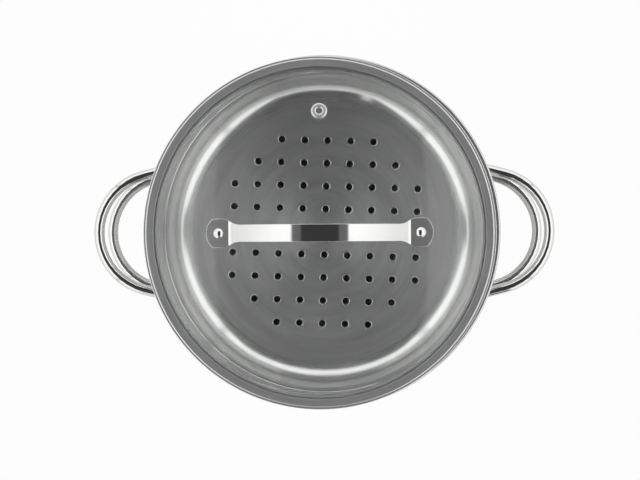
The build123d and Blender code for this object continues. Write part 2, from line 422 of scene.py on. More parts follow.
def make_piece(name: str, triangles: Array, body: str, finish: Finish, *nodes: str) -> None:
    """Turns triangles into an object that rides on a body and stands for nodes.

    Corners on the same spot become one vertex, triangles without area go, and
    each is wound so that its face points the way its corner normals do. The
    worked-out normals stay on the corners.

    Args:
        name: Name of the piece.
        triangles: Corners and normals in mm.
        body: CAD body that it rides on.
        finish: Its material, with the record's slot for it.
        *nodes: CAD nodes that it replaces.
    """
    corners, normals = triangles[:, :, 0], unit(triangles[:, :, 1])
    grid = np.round(corners / WELD + WELD_SHIFT).astype(np.int64).reshape(-1, 3)
    keys = (grid[:, 0] * WELD_KEY + grid[:, 1]) * WELD_KEY + grid[:, 2]
    _, first, index = np.unique(keys, return_index=True, return_inverse=True)
    faces = index.reshape(-1, 3)
    whole = (faces != np.roll(faces, 1, axis=1)).all(axis=1)
    faces, corners, normals = faces[whole], corners[whole], normals[whole]
    across = np.cross(corners[:, 1] - corners[:, 0], corners[:, 2] - corners[:, 0])
    wrong = np.einsum("ij,ij->i", across, normals.sum(axis=1)) < 0
    faces[wrong], normals[wrong] = faces[wrong][:, ::-1], normals[wrong][:, ::-1]
    points = triangles[:, :, 0].reshape(-1, 3)[first] * METRES
    mesh = bpy.data.meshes.new(name)
    mesh.from_pydata(points.tolist(), [], faces.tolist())
    mesh.polygons.foreach_set("use_smooth", np.ones(len(faces), bool))
    mesh.normals_split_custom_set(normals.reshape(-1, 3).tolist())
    mesh.materials.append(finish.material())
    piece = add_object(name, mesh)
    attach(piece, body)
    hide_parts(*nodes)
    log.info("%s: %d triangles on %s", name, len(faces), body)


def operator(operation: str, swapped: bool = False) -> Callable[[Wire, Value], Wire]:
    """A method that adds one Math node of a wire and another value.

    Args:
        operation: What the node does.
        swapped: Whether the other value comes first.

    Returns:
        The method.
    """
    def method(self: Wire, other: Value) -> Wire:
        """One Math node of both values."""
        first, second = (other, self) if swapped else (self, other)
        return self.graph.node("Math", {0: first, 1: second}, operation=operation)
    return method


class Wire:
    """A socket of a node tree, on which Python's operators add Math nodes."""

    __add__ = __radd__ = operator("ADD")
    __sub__, __rsub__ = operator("SUBTRACT"), operator("SUBTRACT", swapped=True)
    __mul__ = __rmul__ = operator("MULTIPLY")
    __truediv__, __pow__ = operator("DIVIDE"), operator("POWER")
    most, least = operator("MAXIMUM"), operator("MINIMUM")

    def __init__(self, graph: Graph, socket: bpy.types.NodeSocket) -> None:
        """Wraps one output socket."""
        self.graph, self.socket = graph, socket

    def arccos(self) -> Wire:
        """Angle, in degrees, whose cosine this is, once held between -1 and 1."""
        held = self.least(1.0).most(-1.0)
        return self.graph.node("Math", {0: held}, operation="ARCCOSINE") * math.degrees(1)

    def rise(self, low: float, high: float) -> Wire:
        """Share that steps smoothly from 0 at low to 1 at high."""
        values = {"Value": self, "From Min": low, "From Max": high}
        return self.graph.node("MapRange", values, interpolation_type="SMOOTHSTEP")

    def fall(self, low: float, high: float) -> Wire:
        """Share that steps smoothly from 1 at low to 0 at high."""
        return 1 - self.rise(low, high)

    def within(self, low: float, high: float, soft: float) -> Wire:
        """Share that is 1 between two bounds, with soft edges."""
        return self.rise(low - soft, low + soft) * self.fall(high - soft, high + soft)

    def blend(self, low: Value, high: Value) -> Wire:
        """Number between low and high, with this value as the share of high."""
        return low + (high - low) * self


Value = Wire | float | int | tuple


class Graph:
    """A node tree that is filled by one method for any node."""

    def __init__(self, owner: bpy.types.Material | bpy.types.World) -> None:
        """Turns on the tree of a material or a world, and empties it.

        Args:
            owner: The material or world.
        """
        owner.use_nodes = True
        self.tree = owner.node_tree
        self.tree.nodes.clear()

    def node(self, kind: str, values: dict[Any, Value] | None = None, output: int = 0,
             **settings: Any) -> Wire:
        """Adds a node of any type.

        Args:
            kind: Type of the node, without ShaderNode.
            values: Values or wires by socket name or number.
            output: Number of the output that is returned.
            **settings: Properties of the node, set before its sockets.

        Returns:
            The output as a wire.
        """
        node = self.tree.nodes.new("ShaderNode" + kind)
        for name, setting in settings.items():
            setattr(node, name, setting)
        for key, value in (values or {}).items():
            if isinstance(value, Wire):
                self.tree.links.new(value.socket, node.inputs[key])
            else:
                node.inputs[key].default_value = value
        return Wire(self, node.outputs[output]) if node.outputs else None

    def position(self, output: int = 3) -> tuple[Wire, Wire, Wire, Wire]:
        """Object coordinates, or another output of Texture Coordinate, and their parts.

        Args:
            output: Number of the node's output.

        Returns:
            The vector and its three parts.
        """
        whole = self.node("TexCoord", output=output)
        split = self.node("SeparateXYZ", {0: whole})
        return whole, *(Wire(self, socket) for socket in split.socket.node.outputs)

    def ring(self, x: Wire, y: Wire) -> tuple[Wire, Wire, Wire]:
        """Distance from the upright axis, and the direction from it as two parts."""
        radius = (x * x + y * y + 1e-8) ** 0.5
        return radius, x / radius, y / radius

    def vector(self, x: Value, y: Value, z: Value) -> Wire:
        """A vector of three values."""
        return self.node("CombineXYZ", {0: x, 1: y, 2: z})

    def noise(self, vector: Wire, scale: float, detail: float = 2.0) -> Wire:
        """Noise about 0.5 at a vector."""
        return self.node("TexNoise", {"Vector": vector, "Scale": scale, "Detail": detail})

    def colour(self, share: Value, low: tuple, high: tuple) -> Wire:
        """Colour between two colours."""
        values = {0: share, 6: (*low, 1.0), 7: (*high, 1.0)}
        return self.node("Mix", values, output=2, data_type="RGBA")

    def bump(self, height: Wire, distance: float) -> Wire:
        """Normal of a relief whose full height is this distance, in metres."""
        return self.node("Bump", {"Height": height, "Distance": distance, "Strength": 1.0})


class Grain(Enum):
    """Direction of the fine lines that a finish leaves."""

    TURNED = "round the upright axis"
    DRAWN = "along X"
    NONE = "no direction"


@dataclass(frozen=True)
class Finish:
    """What all finishes share: a name, the record's slot and a Principled surface."""

    name: str
    slot: str = ""

    def material(self) -> bpy.types.Material:
        """The finish as a material, made once.

        Returns:
            The material.
        """
        known = bpy.data.materials.get(self.name)
        if known:
            return known
        made = bpy.data.materials.new(self.name)
        graph = Graph(made)
        surface = graph.node("BsdfPrincipled", self.values(graph))
        graph.node("OutputMaterial", {"Surface": surface})
        return made

    def values(self, graph: Graph) -> dict[str, Value]:
        """Values of the Principled sockets, by name."""
        raise NotImplementedError


@dataclass(frozen=True)
class Steel(Finish):
    """Bare steel or aluminium with fine lines, soft bands of tone and faint smears."""

    colour: tuple[float, float, float] = (0.62, 0.62, 0.61)
    roughness: float = 0.2
    grain: Grain = Grain.TURNED
    lines: float = 900.0  # noise cells a metre across the lines
    reach: float = 2.0  # noise cells along the lines, a metre or a radian
    tone: float = 0.1  # how far the lines swing the colour
    swing: float = 0.06  # how far they swing the roughness
    relief: float = 0.00001
    band_share: float = 0.12  # cells of the soft bands to each cell of the lines
    band_reach: float = 0.7  # cells of a turned band along it, a radian
    drawn_depth: float = 40.0  # cells of a drawn band through the sheet, a metre
    mottle: float = 60.0  # cells of the bands without direction, a metre
    smear: float = 28.0  # cells of the smears, a metre
    darkest: float = 0.5
    lightest: float = 1.5

    def values(self, graph: Graph) -> dict[str, Value]:
        """Lines from stretched noise drive tone, roughness and relief.

        Turned lines are noise at (radius + height, direction), drawn lines are
        noise that is much coarser along X, and both are repeated coarsely as bands.

        Args:
            graph: Node tree of the material.

        Returns:
            Values or wires by the name of the Principled socket.
        """
        whole, x, y, z = graph.position()
        coarse = self.lines * self.band_share
        if self.grain is Grain.TURNED:
            radius, ring_x, ring_y = graph.ring(x, y)
            across = radius + z
            fine = graph.vector(across * self.lines, ring_x * self.reach, ring_y * self.reach)
            broad = graph.vector(across * coarse, ring_x * self.band_reach,
                                 ring_y * self.band_reach)
        elif self.grain is Grain.DRAWN:
            fine = graph.vector(x * self.reach, y * self.lines, z * self.lines)
            broad = graph.vector(x * self.reach, y * coarse, z * self.drawn_depth)
        else:
            fine, broad = (graph.vector(x * cells, y * cells, z * cells)
                           for cells in (self.lines, self.mottle))
        lines, bands = graph.noise(fine, 1.0, 3.0), graph.noise(broad, 1.0)
        smear = graph.noise(whole, self.smear, 4.0)
        shade = (lines - 0.5) * self.tone + (bands - 0.5) * self.tone + 0.5
        rough = self.roughness + (lines - 0.5) * self.swing + (smear - 0.5) * self.swing
        dark, light = (tinted(self.colour, tint) for tint in (self.darkest, self.lightest))
        return {
            "Base Color": graph.colour(shade, dark, light),
            "Metallic": 1.0,
            "Roughness": rough,
            "Normal": graph.bump(lines, self.relief),
        }


@dataclass(frozen=True)
class PotSteel(Finish):
    """Drawn steel of both tiers: satin turned floors, smoother walls, painted shade outside."""

    colour: tuple[float, float, float] = (0.88, 0.88, 0.875)
    darkest: float = 0.5
    lightest: float = 1.12
    shade: float = 0.72  # between the darkest and the lightest tint
    outside_painted_shade: float = 0.42  # painted shade: how much darker the outside face and the rim are coloured
    outer_radius: float = 0.1287  # between the two faces of the wall
    outer_blend: float = 0.0003
    floor_radius: float = 0.108  # where floor turns into wall
    floor_blend: float = 0.005
    floor_roughness: float = 0.34
    wall_roughness: float = 0.15
    floor_satin: float = 0.22  # share of the light that the fine lines scatter
    wall_satin: float = 0.18
    floor_tone: float = 0.6  # how far the lines swing the shade
    wall_tone: float = 0.16
    smear_tone: float = 0.1
    line_swing: float = 0.1  # how far the lines swing the roughness
    smear_swing: float = 0.08
    # Noise cells across a metre and along a radian, and their detail.
    fine_cells: tuple[float, float, float] = (700.0, 2.0, 3.0)
    broad_cells: tuple[float, float, float] = (120.0, 1.2, 2.0)
    smear: float = 16.0
    relief: float = 0.000007
    anisotropy: float = 0.85
    rotation: float = 0.25  # turns, so that the gloss spreads across the lines

    def values(self, graph: Graph) -> dict[str, Value]:
        """Turned lines all over, with the floor rougher than the wall.

        The lines are noise at (radius + height, direction), fine and broad. Floor
        and wall blend by radius, and so do the inside and the outside, which is coloured darker
        as painted shade.

        Args:
            graph: Node tree of the material.

        Returns:
            Values or wires by the name of the Principled socket.
        """
        whole, x, y, z = graph.position()
        radius, ring_x, ring_y = graph.ring(x, y)
        across = radius + z
        fine, broad = (
            graph.noise(graph.vector(across * cells, ring_x * reach, ring_y * reach),
                        1.0, detail)
            for cells, reach, detail in (self.fine_cells, self.broad_cells))
        smear = graph.noise(whole, self.smear, 4.0)
        floor = radius.fall(self.floor_radius - self.floor_blend,
                            self.floor_radius + self.floor_blend)
        # painted shade: mask of the outside face and the rim, whose colour is darkened
        outside = radius.rise(self.outer_radius, self.outer_radius + self.outer_blend)
        lines = (fine - 0.5) * 0.5 + (broad - 0.5)
        shade = (lines * floor.blend(self.wall_tone, self.floor_tone)
                 + (smear - 0.5) * self.smear_tone + self.shade - outside * self.outside_painted_shade)
        rough = (floor.blend(self.wall_roughness, self.floor_roughness)
                 + (fine - 0.5) * self.line_swing + (smear - 0.5) * self.smear_swing)
        dark, light = (tinted(self.colour, tint) for tint in (self.darkest, self.lightest))
        return {
            "Base Color": graph.colour(shade, dark, light),
            "Metallic": 1 - floor.blend(self.wall_satin, self.floor_satin),
            "Roughness": rough,
            "Anisotropic": self.anisotropy,
            "Anisotropic Rotation": self.rotation,
            "Normal": graph.bump((fine + broad * 2) * floor.blend(0.5, 1.0), self.relief),
        }


@dataclass(frozen=True)
class ClearGlass(Finish):
    """Tempered glass with a trace of grease in its gloss."""

    colour: tuple[float, float, float] = (0.975, 0.985, 0.98)
    index: float = 1.3
    smear: float = 22.0  # cells of the grease, a metre
    smear_bounds: tuple[float, float] = (0.55, 0.8)
    smear_roughness: float = 0.02

    def values(self, graph: Graph) -> dict[str, Value]:
        """Clear transmission, with roughness from a faint smear.

        Args:
            graph: Node tree of the material.

        Returns:
            Values or wires by the name of the Principled socket.
        """
        whole, *_ = graph.position()
        smear = graph.noise(whole, self.smear, 4.0).rise(*self.smear_bounds)
        return {
            "Base Color": (*self.colour, 1.0),
            "Roughness": smear * self.smear_roughness,
            "IOR": self.index,
            "Transmission Weight": 1.0,
        }


@dataclass(frozen=True)
class Silicone(Finish):
    """Soft grey pads with a fine matt surface."""

    colour: tuple[float, float, float] = (0.5, 0.51, 0.51)
    lightest: float = 1.15
    mottle: float = 900.0  # cells a metre
    roughness: float = 0.45
    swing: float = 0.15
    relief: float = 0.00004

    def values(self, graph: Graph) -> dict[str, Value]:
        """A faint mottle in colour, roughness and relief.

        Args:
            graph: Node tree of the material.

        Returns:
            Values or wires by the name of the Principled socket.
        """
        whole, *_ = graph.position()
        mottle = graph.noise(whole, self.mottle, 3.0)
        return {
            "Base Color": graph.colour(mottle, self.colour, tinted(self.colour, self.lightest)),
            "Roughness": self.roughness + mottle * self.swing,
            "Normal": graph.bump(mottle, self.relief),
        }


DRAWN_STEEL = PotSteel("drawn_steel_finish", "drawn_steel")
BASE_STEEL = Steel("base_steel_finish", "base_steel", roughness=0.3, lines=1500.0, tone=0.3,
                   swing=0.12, relief=0.00002)
ROD_STEEL = Steel("rod_steel_finish", "rod_steel", colour=(0.66, 0.66, 0.65), roughness=0.09,
                  grain=Grain.NONE, lines=250.0, tone=0.06, swing=0.04, relief=0.0)
PLATE_STEEL = Steel("plate_steel_finish", "plate_steel", colour=(0.66, 0.66, 0.65),
                    roughness=0.16, grain=Grain.NONE, lines=400.0, tone=0.08)
BAND_STEEL = Steel("band_steel_finish", "band_steel", colour=(0.68, 0.68, 0.675),
                   roughness=0.38, lines=700.0, tone=0.12, swing=0.05, relief=0.000004)
STRAP_STEEL = Steel("strap_steel_finish", "strap_steel", colour=(0.64, 0.64, 0.635),
                    roughness=0.08, grain=Grain.DRAWN, reach=25.0, tone=0.06, swing=0.04,
                    relief=0.000002)
RIVET_STEEL = Steel("rivet_steel_finish", "rivet_steel", colour=(0.76, 0.76, 0.75),
                    roughness=0.1, grain=Grain.NONE, lines=700.0, tone=0.05, swing=0.03,
                    relief=0.0)
VENT_STEEL = Steel("vent_steel_finish", "rivet_steel", colour=(0.86, 0.86, 0.85),
                   roughness=0.34, grain=Grain.NONE, lines=700.0, tone=0.03, swing=0.03,
                   relief=0.0)
ALUMINIUM = Steel("aluminium_finish", colour=(0.77, 0.77, 0.78), roughness=0.42,
                  lines=1200.0, tone=0.15, swing=0.1)
GLASS = ClearGlass("lid_glass_finish", "lid_glass")
SILICONE = Silicone("silicone_finish", "soft_pads")


@dataclass
class Pressing:
    """Sizes, in mm, that the tiers and the lid share."""

    sheet: float = 0.7
    mouth_radius: float = 128.5
    rim_flare: float = 1.6
    rim_land: float = 1.3
    rim_curl: float = 1.6
    curl_turn: float = 200.0
    pot_height: float = 130.0
    tier_pitch: float = 101.0

    @property
    def rim_radius(self) -> float:
        """Outer edge of the rolled rims and of the lid band."""
        return self.mouth_radius + self.rim_flare + self.rim_land + self.rim_curl

    @property
    def wall_outer(self) -> float:
        """Outer face of both walls."""
        return self.mouth_radius + self.sheet

    @property
    def steamer_rim(self) -> float:
        """Height of the steamer's rim."""
        return self.pot_height + self.tier_pitch

    def roll(self, line: Line2D) -> Line2D:
        """Bends the end of a wall outwards, flattens it and curls its edge."""
        line.arc(self.rim_flare, -90).run(self.rim_land)
        return line.arc(self.rim_curl, -self.curl_turn)


@dataclass
class StockPot(Pressing):
    """The lower tier: a drawn shell on a bonded base."""

    corner: float = 18.0
    base_disc: float = 5.0
    cap_sheet: float = 0.6
    base_inset: float = 5.3
    base_edge: float = 2.0

    def build(self) -> None:
        """Makes the shell and the base cap."""
        floor = self.base_disc + self.cap_sheet + self.sheet
        line = Line2D((0, floor)).run(self.mouth_radius - self.corner)
        line.arc(self.corner, 90).to((self.mouth_radius, self.pot_height - self.rim_flare))
        shell = lathe(sheet(self.roll(line), self.sheet, start=False))
        make_piece("pot_shell", shell, "pot", DRAWN_STEEL, "pot_body")
        radius = self.mouth_radius - self.corner - self.base_inset
        line = Line2D((0, 0)).run(radius - self.base_edge).arc(self.base_edge, 90)
        line.to((radius, self.base_disc + self.cap_sheet))
        base = lathe(sheet(line, -self.cap_sheet, start=False))
        make_piece("base_cap", base, "pot", BASE_STEEL, "pot_base_cap")


@dataclass
class SteamerTier(Pressing):
    """The upper tier: a perforated tray with a neck and a stacking bead."""

    corner: float = 24.0
    neck_depth: float = 26.0
    neck_clearance: float = 0.6
    stack_bend: float = 1.3
    bead_bend: float = 1.1
    hole_radius: float = 2.8
    hole_pitch: float = 18.55
    hole_field_margin: float = 16.0
    grid_turn: float = -2.05
    lip_width: float = 1.1  # punched lip round each hole
    lip_dip: float = 0.22
    lip_rows: int = 5
    hole_steps: int = 24

    @property
    def floor(self) -> float:
        """Height of the tray's upper face."""
        return self.pot_height - self.neck_depth

    @property
    def tray_radius(self) -> float:
        """Edge of the flat tray."""
        return self.mouth_radius - self.neck_clearance - self.sheet - self.corner

    def wall(self) -> Array:
        """Shell from the tray's edge through neck and bead to the rolled rim.

        Returns:
            Its triangles.
        """
        ledge = self.pot_height + self.sheet
        line = Line2D((self.tray_radius, self.floor)).arc(self.corner, 90)
        line.run(ledge - self.stack_bend - line.point[1]).arc(self.stack_bend, -90)
        line.run(self.rim_radius - self.bead_bend - self.sheet - line.point[0])
        line.arc(self.bead_bend, 180)
        line.run(line.point[0] - self.mouth_radius - self.stack_bend)
        line.arc(self.stack_bend, -90)
        line.run(self.steamer_rim - self.rim_flare - line.point[1])
        return lathe(sheet(self.roll(line), self.sheet, start=False))

    def hole_centres(self) -> Array:
        """Places of a square grid within a round field, turned with the grid.

        Returns:
            Middle of each hole (count, 2).
        """
        field_radius = self.tray_radius - self.hole_field_margin
        reach = int(field_radius / self.hole_pitch)
        steps = np.arange(-reach, reach + 1) * self.hole_pitch
        places = np.stack(np.meshgrid(steps, steps), -1).reshape(-1, 2)
        places = places[np.hypot(*places.T) < field_radius]
        turn = math.radians(self.grid_turn)
        spin = np.array(((math.cos(turn), math.sin(turn)), (-math.sin(turn), math.cos(turn))))
        return places @ spin

    def plate(self, centres: Array, hole: float, height: float, up: float) -> Array:
        """One flat face of the tray, with round holes.

        Args:
            centres: Middle of each hole.
            hole: Radius of the holes.
            height: Height of the face.
            up: 1 if it faces up, -1 if it faces down.

        Returns:
            Its triangles.
        """
        rings = centres[:, None] + circle(hole, self.hole_steps)
        corners = drilled(circle(self.tray_radius, ROUND), rings, hole)
        points = np.concatenate((corners, np.full((*corners.shape[:2], 1), height)), -1)
        normals = np.broadcast_to(up * UP, points.shape)
        return np.stack((points, normals), 2)

    def holes(self, centres: Array) -> Array:
        """Walls of the holes: a lip that dips by a quarter of a cosine, then straight down.

        Args:
            centres: Middle of each hole.

        Returns:
            The triangles of all of them.
        """
        share = np.linspace(0, 1, self.lip_rows)
        radius = self.hole_radius + self.lip_width * (1 - share)
        height = self.floor - self.lip_dip * (1 - np.cos(share * math.pi / 2))
        slope = self.lip_dip * math.pi / 2 * np.sin(share * math.pi / 2) / self.lip_width
        normals = unit(np.stack((-slope, np.ones_like(slope)), -1))
        lip = np.stack((np.stack((radius, height), -1), normals), 1)
        under = self.floor - self.sheet
        wall = Line2D((self.hole_radius, under)).to((self.hole_radius, height[-1]))
        cells = np.concatenate((np.stack((lip[:-1], lip[1:]), 1), wall.cells(-1)))
        one = lathe(cells, self.hole_steps)
        shift = np.zeros((len(centres), 1, 1, 2, 3))
        shift[:, 0, 0, 0, :2] = centres
        return (one + shift).reshape(-1, 3, 2, 3)

    def build(self) -> None:
        """Makes the perforated tier as one piece."""
        centres = self.hole_centres()
        top = self.plate(centres, self.hole_radius + self.lip_width, self.floor, 1.0)
        bottom = self.plate(centres, self.hole_radius, self.floor - self.sheet, -1.0)
        shell = np.concatenate((self.wall(), top, bottom, self.holes(centres)))
        make_piece("steamer_shell", shell, "steamer", DRAWN_STEEL, "steamer_body")


@dataclass
class SideHandles(Pressing):
    """Four bent rods, each welded to two plates on a tier's wall."""

    rod_radius: float = 4.0
    stand: float = 46.9
    drop: float = 25.0
    grip_radius: float = 45.0
    leg_splay: float = 14.0
    plate_thickness: float = 1.5
    plate_length: float = 35.0
    plate_height: float = 16.0
    plate_corner: float = 4.0
    plate_edge: float = 0.6
    plate_sink: float = 0.05  # of the plates' hidden edge into the wall
    plate_rings: tuple[float, ...] = (0.4, 0.7, 1.0)  # shares of half a plate's height
    plate_ridge: float = 0.9  # how fast the rings shorten as they close on a line
    weld: float = 0.9  # fillet where a rod meets its plate
    weld_sink: float = 0.3  # of a rod's closed end into the plate
    rod_steps: int = 40

    @property
    def plate_outer(self) -> float:
        """Outer face of the plates, from the axis."""
        return self.wall_outer + self.plate_thickness

    def half_loop(self) -> Line2D:
        """Centre line from the middle of the grip to the plate, in plan.

        Returns:
            The line.
        """
        reach = self.wall_outer + self.stand - self.rod_radius
        line = Line2D((reach, 0), 90).arc(self.grip_radius, 90 - self.leg_splay)
        aim = np.array((math.cos(line.heading), math.sin(line.heading)))
        nearest = -float(line.point @ aim)
        chord = math.sqrt(self.plate_outer**2 - float(line.point @ line.point) + nearest**2)
        return line.run(nearest - chord)

    def rod(self) -> Array:
        """Half a rod and its weld, swept round the centre line.

        A point of the rod is the centre + r (cos a side + sin a up). The last row
        runs along the leg to the plate's cylinder, and the weld's rows are a
        quarter circle between the rod's direction and the plate's face.

        Returns:
            Its triangles.
        """
        line = self.half_loop()
        cells = line.cells()
        cells = np.concatenate((cells, np.zeros((*cells.shape[:3], 1))), -1)
        middle, side = cells[:, :, None, 0], cells[:, :, None, 1]
        wheel = circle(1.0, self.rod_steps)
        ring = wheel[:, :1] * side + wheel[:, 1:] * UP
        rows = np.stack((middle + self.rod_radius * ring, ring), 3)
        aim = upright(np.array(line.heading))[0]
        start, normals = rows[-1, 0, :, 0], rows[-1, 0, :, 1]
        flat = start[:, :2] @ aim[:2]
        square = flat**2 - (start[:, :2] ** 2).sum(-1) + self.plate_outer**2
        foot = start + (-flat - np.sqrt(square))[:, None] * aim
        out = unit(foot * (1, 1, 0))
        spread = unit(normals - (normals * out).sum(-1)[:, None] * out)
        swing = np.linspace(0, math.pi / 2, BEND_STEPS)[:, None, None]
        bead = foot - self.weld * ((1 - np.sin(swing)) * aim - (1 - np.cos(swing)) * spread)
        shine = unit(np.cos(swing) * normals + np.sin(swing) * out)
        weld = np.stack((bead, shine), 2)
        rows[-1, 1] = weld[0]
        under = np.stack((foot.mean(axis=0) - self.weld_sink * out, out), 1)
        joins = strip(weld[:-1], weld[1:]), strip(weld[-1:], under[None])
        return np.concatenate((strip(rows[:, 0], rows[:, 1]), *joins))

    def plate(self) -> Array:
        """One weld plate: a rounded rectangle with soft edges, bent to the wall.

        Rings of the rectangle's outline are scaled towards its middle as they
        rise through the edge's quarter circle, then (x, y, h) goes to the wall
        at azimuth x / radius, height y and distance h.

        Returns:
            Its triangles.
        """
        foot = self.half_loop().point
        azimuth = math.atan2(foot[1], foot[0])
        half = np.array((self.plate_length, self.plate_height)) / 2
        corners = [(-half[0], -half[1]), (half[0], -half[1]), tuple(half), (-half[0], half[1])]
        outline = rounded([(*corner, self.plate_corner) for corner in corners])[:, 0]
        bend = np.linspace(0, math.pi / 2, BEND_STEPS)
        lift = np.concatenate(([0.0], np.sin(bend), np.ones(len(self.plate_rings))))
        inset = np.concatenate(([0.0], self.plate_edge * (1 - np.cos(bend)),
                                half[1] * np.array(self.plate_rings)))
        height = self.plate_thickness - self.plate_edge * (1 - lift)
        height[0] = -self.plate_sink
        ridge = np.array((half[1] / half[0] * self.plate_ridge, 1.0))
        flat = outline[:, 0] * (1 - inset[:, None, None] / half * ridge)
        edge = outline[:, 1]
        out, across = upright(azimuth + flat[..., 0] / self.wall_outer)
        points = out * (self.wall_outer + height)[:, None, None]
        points[..., 2] = flat[..., 1]
        sideways = edge[:, :1] * across + edge[:, 1:] * UP
        lift = lift[:, None, None]
        rows = np.stack((points, lift * out + np.sqrt(1 - lift**2) * sideways), 2)
        last = rows[-1:].copy()
        last[:, :, 0, 2] = 0.0
        return np.concatenate((strip(rows[:-1], rows[1:]), strip(rows[-1:], last)))

    def build(self) -> None:
        """Makes the four handles and their plates."""
        kinds = (("handle", ROD_STEEL, doubled(self.rod())),
                 ("plates", PLATE_STEEL, doubled(self.plate())))
        for tier, rim in (("pot", self.pot_height), ("steamer", self.steamer_rim)):
            for kind, finish, shape in kinds:
                for side, half_turn in (("right", 1), ("left", -1)):
                    node = f"{tier}_{kind}_{side}"
                    turned = placed(shape, (0, 0, rim - self.drop)) * (half_turn, half_turn, 1)
                    make_piece(f"{node}_dressed", turned, tier, finish, node)


@dataclass
class Lid(Pressing):
    """Domed glass in a folded band, with a riveted strap and a vent eyelet."""

    band_sheet: float = 0.5
    shift: tuple[float, float] = (-3.2, -0.9)  # as the lid lies in the play of its skirt
    band_lip: float = 5.0
    band_step: float = 2.5
    band_fold: float = 0.6
    band_shoulder: float = 0.8
    skirt_clearance: float = 5.0
    skirt_bend: float = 0.5
    skirt_depth: float = 6.0
    hem_bend: float = 0.9
    glass: float = 4.0
    glass_edge_gap: float = 0.2
    glass_edge_round: float = 1.2
    glass_lift: float = 0.02  # so that light reaches the flange under it
    glass_flat_margin: float = 1.5
    glass_knee: float = 10.0
    dome_slope: float = 18.5
    dome_rings: int = 24  # of points on the dome, between its middle and its edge
    dome_steps: int = 96  # points in each of them
    hole_steps: int = 40
    hole_clear: float = 1.5  # round a hole, without such points
    hole_slack: float = 0.12  # a hole drilled at a slant is narrower seen from above
    rivet_inset: float = 50.4
    rivet_hole: float = 3.2
    shank: float = 2.2
    head_radius: float = 3.75
    head_rise: float = 1.9
    tail_radius: float = 3.4
    tail_rise: float = 1.2
    tail_round: float = 0.5
    washer_radius: float = 5.0
    washer_sheet: float = 0.8
    washer_edge: float = 0.2
    pad_radius: float = 6.5
    pad_thickness: float = 1.0
    soft_edge: float = 0.25
    strap_sheet: float = 2.0
    vent_inset: float = 34.3
    vent_bore: float = 2.1
    vent_tube: float = 3.0
    vent_play: float = 0.4
    collar_radius: float = 6.15
    collar_rise: float = 1.6
    collar_round: float = 1.4
    foot_radius: float = 4.6
    foot_sheet: float = 0.6
    fine_edge: float = 0.1  # of the collar and the foot, towards the glass
    seal_radius: float = 6.0
    seal_thickness: float = 1.0

    @property
    def glass_radius(self) -> float:
        """Edge of the glass."""
        return self.rim_radius - self.band_step - self.glass_edge_gap

    @property
    def lip_radius(self) -> float:
        """Inner edge of the band's lip."""
        return self.glass_radius - self.band_lip

    @property
    def seat(self) -> float:
        """Height of the glass's flat underside."""
        return self.steamer_rim + self.band_sheet

    @property
    def knee_end(self) -> float:
        """Radius at which the dome's underside begins."""
        lean = math.radians(self.dome_slope)
        return self.lip_radius - self.glass_flat_margin - self.glass_knee * math.sin(lean)

    @property
    def under_radius(self) -> float:
        """Radius of the ball that the dome's underside is part of."""
        return self.knee_end / math.sin(math.radians(self.dome_slope))

    @property
    def top_radius(self) -> float:
        """Radius of the ball that its upper face is part of."""
        return self.under_radius + self.glass

    @property
    def centre(self) -> Array:
        """Middle of that ball.

        Returns:
            The point.
        """
        drop = 1 - math.cos(math.radians(self.dome_slope))
        rise = (self.under_radius + self.glass_knee) * drop
        return np.array((0, 0, self.seat + rise - self.under_radius))

    def axes(self, distance: float, azimuth: float) -> Array:
        """Axes of the dome at a place.

        Args:
            distance: From the lid's axis.
            azimuth: Of the place, in degrees.

        Returns:
            Outward, sideways and upward axes, as rows.
        """
        lean = math.asin(distance / self.top_radius)
        out, sideways = upright(np.radians(azimuth))
        sine, cosine = math.sin(lean), math.cos(lean)
        return np.stack((cosine * out - sine * UP, sideways, sine * out + cosine * UP))

    def on_dome(self, cells: Array, distance: float, azimuth: float) -> Array:
        """A round shape on the glass, square to it.

        Args:
            cells: Its profile, with height 0 at the glass.
            distance: From the lid's axis.
            azimuth: Of the place, in degrees.

        Returns:
            Its triangles.
        """
        axes = self.axes(distance, azimuth)
        return placed(lathe(cells, SMALL_ROUND), self.centre + axes[2] * self.top_radius, axes)

    def sag(self, radius: float) -> float:
        """Depth of the dome's underside across a disc."""
        return self.under_radius - math.sqrt(self.under_radius**2 - radius**2)

    def places(self) -> dict[str, tuple[float, float, float]]:
        """Distance, azimuth and glass hole radius of the vent and the rivets.

        Returns:
            The three measures of each.
        """
        rivet = self.lip_radius - self.rivet_inset
        return {
            "vent": (self.lip_radius - self.vent_inset, 90.0, self.vent_tube + self.vent_play),
            "right": (rivet, 0.0, self.rivet_hole),
            "left": (rivet, 180.0, self.rivet_hole),
        }

    def add(self, name: str, shape: Array, finish: Finish, node: str) -> None:
        """Makes one piece of the lid, moved to where the lid lies."""
        make_piece(name, placed(shape, (*self.shift, 0)), "lid", finish, node)

    def build(self) -> None:
        """Makes every piece of the lid."""
        self.build_glass()
        self.build_band()
        self.build_strap()
        self.build_fasteners()
        self.build_vent()

    def on_ball(self, plan: Array) -> Array:
        """Plan points raised to sqrt(R^2 - x^2 - y^2), on the upper face's ball."""
        height = np.sqrt(self.top_radius**2 - (plan**2).sum(-1, keepdims=True))
        return np.concatenate((plan, height), -1)

    def drill_ring(self, distance: float, azimuth: float, hole: float) -> Array:
        """Edge of a hole drilled square to the dome, in plan.

        Args:
            distance: From the lid's axis.
            azimuth: Of the hole, in degrees.
            hole: Its radius.

        Returns:
            Points (steps, 2).
        """
        axes = self.axes(distance, azimuth)
        depth = math.sqrt(self.top_radius**2 - hole**2)
        return (circle(hole, self.hole_steps) @ axes[:2] + depth * axes[2])[:, :2]

